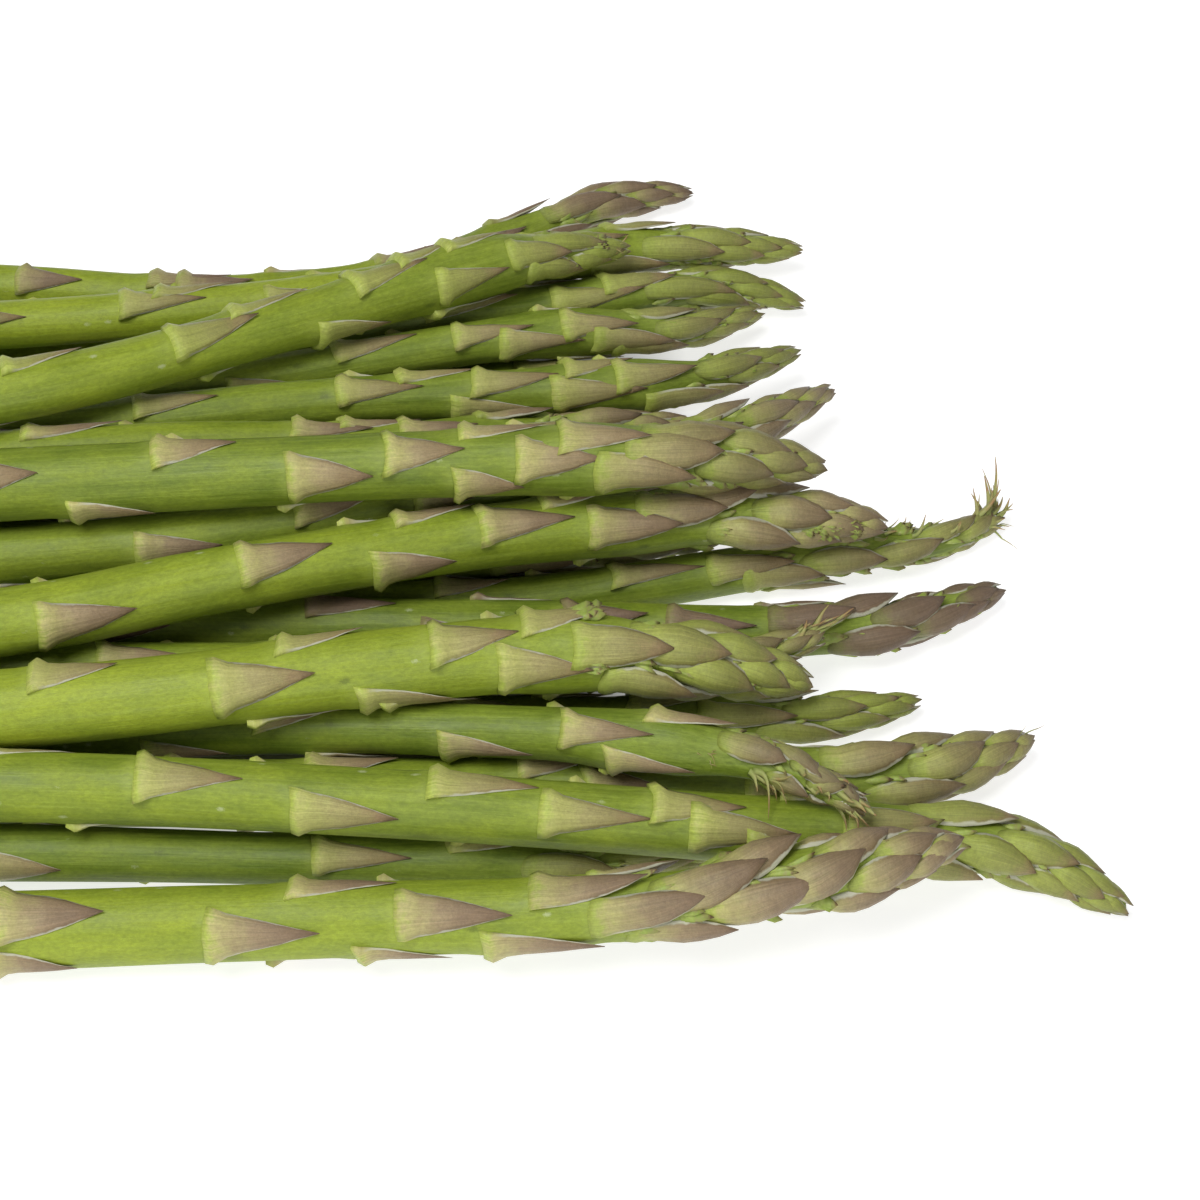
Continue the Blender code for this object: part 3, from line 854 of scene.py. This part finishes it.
def strands(spear, kind, draw):
    """Thin tapering strands with four sides, from a table row: how many, the nearest and furthest
    start from the tip (mm), the middle and half width of the angles they start at (degrees), length,
    curl and half width. A strand runs ahead in proportion to t and outwards with t squared, and
    swings aside as a sine that grows with t."""
    count, near, far, middle, half_angle, reach, curl, radius = kind
    distance = draw.uniform(near, far, count) * MM
    turn = np.radians(middle + draw.uniform(-half_angle, half_angle, count))
    start = spear.point(distance, turn, 0.72 * spear.envelope(distance))[:, None]
    ahead, out = [way[:, None] for way in spear.ways(distance, turn)]
    aside = np.cross(ahead, out)
    t = np.linspace(0, 1, STRAND_POINTS)[None, :, None]
    swing = draw.uniform(-1, 1, (count, 1, 1))
    phase = draw.uniform(0, 2 * math.pi, (count, 1, 1))
    reach = reach * MM * draw.uniform(0.5, 1.15, (count, 1, 1))
    path = start + reach * (ahead * t * (1 - 0.35 * t * swing**2) + out * curl * t**2 * (0.3 + swing**2)
                            + aside * (0.4 * t * np.sin(3 * t * swing + phase) + 0.5 * swing * t**2))
    path[..., 2] = np.maximum(path[..., 2], OVER_FLOOR)
    run = np.gradient(path, axis=1)
    run /= np.linalg.norm(run, axis=2, keepdims=True)
    up = np.cross(run, aside)
    up /= np.linalg.norm(up, axis=2, keepdims=True)
    side = np.cross(run, up)
    size = radius * MM * (1 - 0.90 * t**1.6) * draw.uniform(0.6, 1.2, (count, 1, 1))
    thick = 0.4 * size * up
    ring = np.stack([path + thick, path + size * side, path - thick, path - size * side], axis=2)
    last = STRAND_SIDES * STRAND_POINTS
    ends = np.array([[3, 2, 1, 0], [last - 4, last - 3, last - 2, last - 1]])
    faces = np.concatenate([grid_faces(STRAND_POINTS, STRAND_SIDES, wrap=True), ends])
    quads = (faces[None] + (np.arange(count) * last)[:, None, None]).reshape(-1, STRAND_SIDES)
    points = ring.reshape(-1, 3)
    v = np.broadcast_to(t[:, :, None], (count, STRAND_POINTS, STRAND_SIDES, 1)).reshape(-1)
    blade = np.stack([np.zeros(len(v)), v, np.zeros(len(v))], axis=1)
    return points, [quads], {"skin": points / MM, "blade": blade}


# ---------------------------------------------------------------- settings
def real(name, description, default, **more):
    return bpy.props.FloatProperty(name=name, description=description, default=default, **more)


def metres(name, description, default):
    return real(name, description, default, unit="LENGTH", precision=5)


def position(name, description, default):
    return bpy.props.FloatVectorProperty(name=name, description=description, default=default,
                                         size=len(default), unit="LENGTH", precision=5)


def paint(name, description, default):
    return bpy.props.FloatVectorProperty(name=name, description=description, default=default, size=3,
                                         subtype="COLOR", min=0.0, max=1.0)


def whole(name, description, default, least):
    return bpy.props.IntProperty(name=name, description=description, default=default, min=least)


class StemSettings(bpy.types.PropertyGroup):
    facets: whole("Facets", "Points round a stem", 44, 12)
    ring_step: metres("Ring step", "Distance between the rings of a stem", 1.0 * MM)
    flute_depth: metres("Flute depth", "Depth of the shallow lengthwise flutes", 0.05 * MM)
    node_swell: metres("Node swelling", "How far a stem swells under a leaf scale", 0.28 * MM)
    light_green: paint("Light green", "Skin of the lightest stems", (0.300, 0.368, 0.020))
    deep_green: paint("Deep green", "Skin of the deepest green stems", (0.106, 0.160, 0.011))
    fibre_colour: paint("Fibres", "Fine lengthwise fibres", (0.300, 0.375, 0.055))
    ring_colour: paint("Ring", "Pale ring under a leaf scale", (0.400, 0.450, 0.110))
    blanched: paint("Blanched end", "Skin next to the cut", (0.520, 0.500, 0.240))
    bruise: paint("Bruise", "Small dark marks", (0.070, 0.090, 0.012))
    speck: paint("Speck", "Small light marks", (0.520, 0.560, 0.340))
    flesh: paint("Cut flesh", "Cut face of a butt", (0.600, 0.600, 0.320))
    dull_flesh: paint("Dull flesh", "Cloudy parts of a cut face", (0.500, 0.470, 0.240))
    vessels: paint("Vessels", "Darker dots in a cut face", (0.300, 0.290, 0.120))
    rim: paint("Cut rim", "Rim of a cut face, next to the skin", (0.330, 0.360, 0.100))


class ScaleSettings(bpy.types.PropertyGroup):
    first_step: metres("First step", "Distance between the scales at the very tip", 0.35 * MM)
    step_growth: real("Step growth", "Growth of that distance for each length from the tip", 0.088)
    bare_butt: metres("Bare butt", "Length over the cut that has no scale", 12 * MM)
    rows: whole("Rows", "Points along a scale", 8, 4)
    columns: whole("Columns", "Points across a scale", 7, 3)
    base_green: paint("Base green", "Where a scale leaves the stem", (0.400, 0.470, 0.085))
    pale_base: paint("Pale base", "Pale band over the base", (0.480, 0.450, 0.165))
    tan: paint("Tan", "Middle of a scale", (0.400, 0.318, 0.160))
    brown: paint("Brown", "Outer part of a scale", (0.300, 0.215, 0.105))
    tip: paint("Tip", "Tip and margin of a scale", (0.175, 0.115, 0.058))
    purple: paint("Purple", "Flush of a purple scale", (0.192, 0.124, 0.086))
    fresh_green: paint("Fresh green", "Lower part of a green scale", (0.310, 0.360, 0.060))
    leaf_green: paint("Leaf green", "Middle of a green scale", (0.245, 0.270, 0.055))
    # Painted shade on the foot of a head's scale, where the scale behind it overlaps.
    painted_overlap_shade: paint("Overlap", "Foot of a head's scale, under the scale behind it",
                      (0.060, 0.075, 0.018))
    film: paint("Silver margin", "Thin dry margin of a scale", (0.520, 0.520, 0.400))


class BudSettings(bpy.types.PropertyGroup):
    rows: whole("Rows", "Points along a bud", 4, 4)
    columns: whole("Columns", "Points across a bud", 3, 3)
    bud_base: paint("Bud base", "Base of a small bud", (0.360, 0.420, 0.110))
    bud_green: paint("Bud green", "Middle of a small bud", (0.260, 0.340, 0.060))
    bud_olive: paint("Bud olive", "Outer part of a small bud", (0.280, 0.270, 0.090))
    bud_tip: paint("Bud tip", "Tip of a small bud", (0.175, 0.115, 0.058))
    thread_green: paint("Thread green", "Root of a dried strand", (0.250, 0.300, 0.080))
    straw: paint("Straw", "Middle of a dried strand", (0.340, 0.340, 0.120))
    thread_brown: paint("Thread brown", "End of a dried strand", (0.340, 0.200, 0.090))


class StageSettings(bpy.types.PropertyGroup):
    floor_side: metres("Floor side", "Side of the square floor", 6.0)
    floor_colour: paint("Floor", "Colour of the floor", (0.50, 0.50, 0.50))
    floor_glow: real("Floor glow", "Light the floor adds", 0.74)
    shaded_middle: position("Shaded middle", "Middle of the floor under the spears, which adds no light",
                            (-30 * MM, 2 * MM))
    shaded_half: position("Shaded half sides", "Half the sides of that part of the floor",
                          (76 * MM, 52 * MM))
    sky: real("Sky", "Strength of the white surroundings", 0.16)
    key: real("Key light", "Power of the key light", 6.4, unit="POWER")
    front: real("Front light", "Power of the low front light", 3.0, unit="POWER")
    fill: real("Fill light", "Power of the light behind", 0.9, unit="POWER")
    elevation: real("Camera elevation", "Camera's angle over the floor", math.radians(50),
                    subtype="ANGLE")
    distance: metres("Camera distance", "Camera's distance from what it looks at", 0.5)
    target: position("Camera target", "What the camera looks at", (40.8 * MM, -16.8 * MM, 10 * MM))
    lens: real("Lens", "Focal length in millimetres", 100.0)


GROUPS = (("asparagus_stems", StemSettings), ("asparagus_scales", ScaleSettings),
          ("asparagus_buds", BudSettings), ("asparagus_stage", StageSettings))

# For each light: the property of its power, its place from the bundle's middle and its size (m).
LIGHTS = (("key", (-0.25, -0.20, 0.80), 0.45), ("front", (0.15, -0.80, 0.35), 0.60),
          ("fill", (0.60, 0.50, 0.50), 0.60))
FLOOR_GAP = 0.05 * MM     # between the floor and the lowest point of the spears
SHADED_EDGE = 9.0 * MM    # half the width of the border over which the floor's glow fades


def place_on_spear(item):
    """Every piece is still: it rides on the one body."""
    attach(item, "root")


# ---------------------------------------------------------------- operators
class ASPARAGUS_OT_stems(bpy.types.Operator):
    """Grow the skin and the cut butt of every spear"""
    bl_idname = "asparagus.stems"
    bl_label = "Stems"

    def execute(self, context):
        settings = context.scene.asparagus_stems
        materials = [skin_material(settings), cut_material(settings)]
        for name, spear in SPEARS.items():
            character = CHARACTERS[name]
            leaf = leaf_places(spear, character, context.scene.asparagus_scales)
            points, groups, slots, attributes = stem_surface(spear, character, leaf, settings)
            item = add_piece(name + "_stem", points, groups, materials, attributes, slots)
            place_on_spear(item)
            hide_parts(name)
        return {"FINISHED"}


class ASPARAGUS_OT_leaf_scales(bpy.types.Operator):
    """Lay the leaf scales along every spear"""
    bl_idname = "asparagus.leaf_scales"
    bl_label = "Leaf scales"

    def execute(self, context):
        settings = context.scene.asparagus_scales
        materials = [leaf_material(settings)]
        for name, spear in SPEARS.items():
            character = CHARACTERS[name]
            leaf = leaf_places(spear, character, settings)
            points, groups, attributes = leaf_blades(spear, character, leaf, settings.rows,
                                                     settings.columns)
            item = add_piece(name + "_scales", points, groups, materials, attributes)
            place_on_spear(item)
        return {"FINISHED"}


class ASPARAGUS_OT_buds(bpy.types.Operator):
    """Fill the gaps between the scales of every head with small buds"""
    bl_idname = "asparagus.buds"
    bl_label = "Side buds"

    def execute(self, context):
        settings = context.scene.asparagus_buds
        materials = [bud_material(settings)]
        for name, spear in SPEARS.items():
            character = CHARACTERS[name]
            leaf = leaf_places(spear, character, context.scene.asparagus_scales)
            draw = np.random.default_rng(number_of(name) * 11 + 5)
            bud, height = side_buds(spear, character, leaf, BUD_CLUSTERS.get(name, ()), draw)
            points, groups, attributes = leaf_blades(spear, character, bud, settings.rows,
                                                     settings.columns, height)
            item = add_piece(name + "_buds", points, groups, materials, attributes)
            place_on_spear(item)
        return {"FINISHED"}


class ASPARAGUS_OT_frays(bpy.types.Operator):
    """Add the dried strands of the torn tips"""
    bl_idname = "asparagus.frays"
    bl_label = "Dried strands"

    def execute(self, context):
        materials = [thread_material(context.scene.asparagus_buds)]
        for name, kinds in FRAYS.items():
            draw = np.random.default_rng(number_of(name) * 13 + 3)
            for number, kind in enumerate(kinds, start=1):
                points, groups, attributes = strands(SPEARS[name], kind, draw)
                item = add_piece(f"{name}_strands_{number}", points, groups, materials, attributes)
                place_on_spear(item)
        return {"FINISHED"}


class ASPARAGUS_OT_stage(bpy.types.Operator):
    """Set out the floor, the light and the camera"""
    bl_idname = "asparagus.stage"
    bl_label = "Stage"

    def execute(self, context):
        settings = context.scene.asparagus_stage
        scene = context.scene
        side = settings.floor_side / 2
        low = CAD_BOX[0][2] - FLOOR_GAP
        mesh = bpy.data.meshes.new("floor")
        corners = [(-side, -side, low), (side, -side, low), (side, side, low), (-side, side, low)]
        mesh.from_pydata(corners, [], [(0, 1, 2, 3)])
        floor = bpy.data.objects.new("floor", mesh)
        scene.collection.objects.link(floor)
        material, tree, shader = new_material("floor_white", 0.9, 0.0)
        shader.inputs["Base Color"].default_value = (*settings.floor_colour, 1)
        shader.inputs["Specular IOR Level"].default_value = 0.0
        shader.inputs["Emission Color"].default_value = (1, 1, 1, 1)
        coordinates = put(tree, "ShaderNodeTexCoord")
        x, y = put(tree, "ShaderNodeSeparateXYZ", {0: coordinates.outputs["Object"]}).outputs[:2]
        away = []
        for axis, middle, half in zip((x, y), settings.shaded_middle, settings.shaded_half):
            off = maths(tree, "ABSOLUTE", maths(tree, "SUBTRACT", axis, middle))
            away.append(maths(tree, "SUBTRACT", off, half))
        outside = maths(tree, "MAXIMUM", *away)
        glow = spread(tree, outside, -SHADED_EDGE, SHADED_EDGE, 0.0, settings.floor_glow)
        tree.links.new(glow, shader.inputs["Emission Strength"])
        mesh.materials.append(material)

        world = bpy.data.worlds.new("studio")
        world.use_nodes = True
        sky = world.node_tree.nodes["Background"]
        sky.inputs["Color"].default_value = (1, 1, 1, 1)
        sky.inputs["Strength"].default_value = settings.sky
        scene.world = world
        scene.view_settings.view_transform = "Standard"

        middle = [(low + high) / 2 for low, high in zip(*CAD_BOX)]
        for name, offset, size in LIGHTS:
            lamp = bpy.data.lights.new(name + "_light", "AREA")
            lamp.energy = getattr(settings, name)
            lamp.size = size
            item = bpy.data.objects.new(name + "_light", lamp)
            item.location = [m + o for m, o in zip(middle, offset)]
            item.rotation_euler = (-Vector(offset)).to_track_quat("-Z", "Y").to_euler()
            scene.collection.objects.link(item)

        lens = bpy.data.cameras.new("camera")
        lens.lens = settings.lens
        camera = bpy.data.objects.new("camera", lens)
        back = Vector((0, -math.cos(settings.elevation), math.sin(settings.elevation)))
        camera.location = Vector(settings.target) + settings.distance * back
        camera.rotation_euler = (math.pi / 2 - settings.elevation, 0, 0)
        scene.collection.objects.link(camera)
        scene.camera = camera
        return {"FINISHED"}


OPERATORS = (ASPARAGUS_OT_stems, ASPARAGUS_OT_leaf_scales, ASPARAGUS_OT_buds, ASPARAGUS_OT_frays,
             ASPARAGUS_OT_stage)


class ASPARAGUS_PT_panel(bpy.types.Panel):
    """Buttons for the pieces of the bundle"""
    bl_idname = "ASPARAGUS_PT_panel"
    bl_label = "Asparagus bundle"
    bl_space_type = "VIEW_3D"
    bl_region_type = "UI"
    bl_category = "Asparagus"

    def draw(self, context):
        for operator in OPERATORS:
            self.layout.operator(operator.bl_idname)
        for key, group in GROUPS:
            box = self.layout.box()
            for field in group.__annotations__:
                box.prop(getattr(context.scene, key), field)


def register():
    for _, group in GROUPS:
        bpy.utils.register_class(group)
    for operator in OPERATORS:
        bpy.utils.register_class(operator)
    bpy.utils.register_class(ASPARAGUS_PT_panel)
    for key, group in GROUPS:
        setattr(bpy.types.Scene, key, bpy.props.PointerProperty(type=group))


def unregister():
    for key, _ in GROUPS:
        delattr(bpy.types.Scene, key)
    bpy.utils.unregister_class(ASPARAGUS_PT_panel)
    for operator in reversed(OPERATORS):
        bpy.utils.unregister_class(operator)
    for _, group in reversed(GROUPS):
        bpy.utils.unregister_class(group)


def main():
    register()
    bpy.ops.asparagus.stems()
    bpy.ops.asparagus.leaf_scales()
    bpy.ops.asparagus.buds()
    bpy.ops.asparagus.frays()
    bpy.ops.asparagus.stage()


if __name__ == "__main__":
    main()
